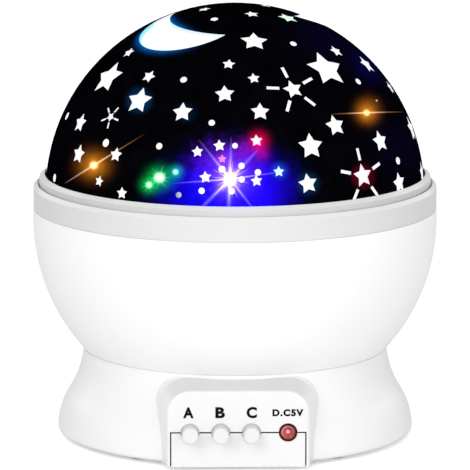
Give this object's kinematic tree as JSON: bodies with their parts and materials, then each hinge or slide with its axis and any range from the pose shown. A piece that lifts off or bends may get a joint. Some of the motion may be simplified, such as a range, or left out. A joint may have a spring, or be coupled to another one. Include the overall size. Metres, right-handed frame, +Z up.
{
  "type": "star night light projector",
  "caption": "Tabletop night light: a lift-off black dome with star and moon windows turns on a motor-driven ring over a round white bowl on a flared foot with push buttons and a power socket.",
  "frame": {"origin": "on the floor under the dome's axis, bottom centre of the bounding box", "axes": "+Z up along the dome's axis, the control panel faces -Y, +X to the right of the panel as seen from its front"},
  "size_m": [0.1302, 0.1302, 0.1397],
  "materials": {
    "white_shell": "satin moulded",
    "grey_band": "satin moulded",
    "black_mask": "gloss",
    "milky_liner": "translucent",
    "grey_inner": "matte",
    "gear_plastic": "matte",
    "black_plastic": "matte",
    "red_insulator": "translucent",
    "board": "satin",
    "led": "clear",
    "steel": "plated",
    "rubber": "matte",
    "lead_cover": "matte"
  },
  "bodies": {
    "base": {"base_shell": "white_shell", "bowl_shell": "white_shell", "top_collar": "grey_band", "bottom_cover": "white_shell", "case_screws": "steel", "waist_screws": "steel", "deck_screws": "steel", "post_screws": "steel", "rubber_feet": "rubber", "lamp_deck": "white_shell", "lamp_post": "white_shell", "lamp_board": "board", "warm_led": "led", "red_led": "led", "green_led": "led", "blue_led": "led", "gear_motor": "steel", "motor_screws": "steel", "battery_contacts": "steel", "control_board": "board", "push_switches": "black_plastic", "dc_socket": "black_plastic", "socket_insulator": "red_insulator", "socket_pin": "steel", "lamp_lead": "lead_cover", "motor_lead": "lead_cover"},
    "turntable": {"turntable": "gear_plastic"},
    "dome": {"dome_ring": "grey_band", "star_mask": "black_mask", "dome_liner": "milky_liner"},
    "drive": {"drive_pinion": "gear_plastic", "motor_shaft": "steel"},
    "push_a": {"button_a": "white_shell", "switch_plunger_a": "black_plastic"},
    "push_b": {"button_b": "white_shell", "switch_plunger_b": "black_plastic"},
    "push_c": {"button_c": "white_shell", "switch_plunger_c": "black_plastic"},
    "battery_hatch": {"battery_door": "white_shell", "door_screws": "steel"}
  },
  "joints": [
    {"name": "dome_spin", "type": "hinge", "parent": "base", "child": "turntable", "pos_m": [0, 0, 0.0783], "axis": [0, 0, 1], "continuous": true},
    {"name": "dome_lift", "type": "slide", "parent": "turntable", "child": "dome", "axis": [0, 0, 1], "range_m": [0, 0.075]},
    {"name": "drive_spin", "type": "hinge", "parent": "base", "child": "drive", "pos_m": [-0.0234, 0.04053, 0.0745], "axis": [0, 0, 1], "continuous": true},
    {"name": "push_a_press", "type": "slide", "parent": "base", "child": "push_a", "axis": [0, 1, 0], "range_m": [0, 0.0015], "stiffness_N_per_m": 600, "springref_m": -0.0012},
    {"name": "push_b_press", "type": "slide", "parent": "base", "child": "push_b", "axis": [0, 1, 0], "range_m": [0, 0.0015], "stiffness_N_per_m": 600, "springref_m": -0.0012},
    {"name": "push_c_press", "type": "slide", "parent": "base", "child": "push_c", "axis": [0, 1, 0], "range_m": [0, 0.0015], "stiffness_N_per_m": 600, "springref_m": -0.0012},
    {"name": "hatch_lift", "type": "slide", "parent": "base", "child": "battery_hatch", "axis": [0, 0, -1], "range_m": [0, 0.025]}
  ],
  "couplings": [
    {"joint": "drive_spin", "follows": "dome_spin", "ratio": 7.5}
  ]
}
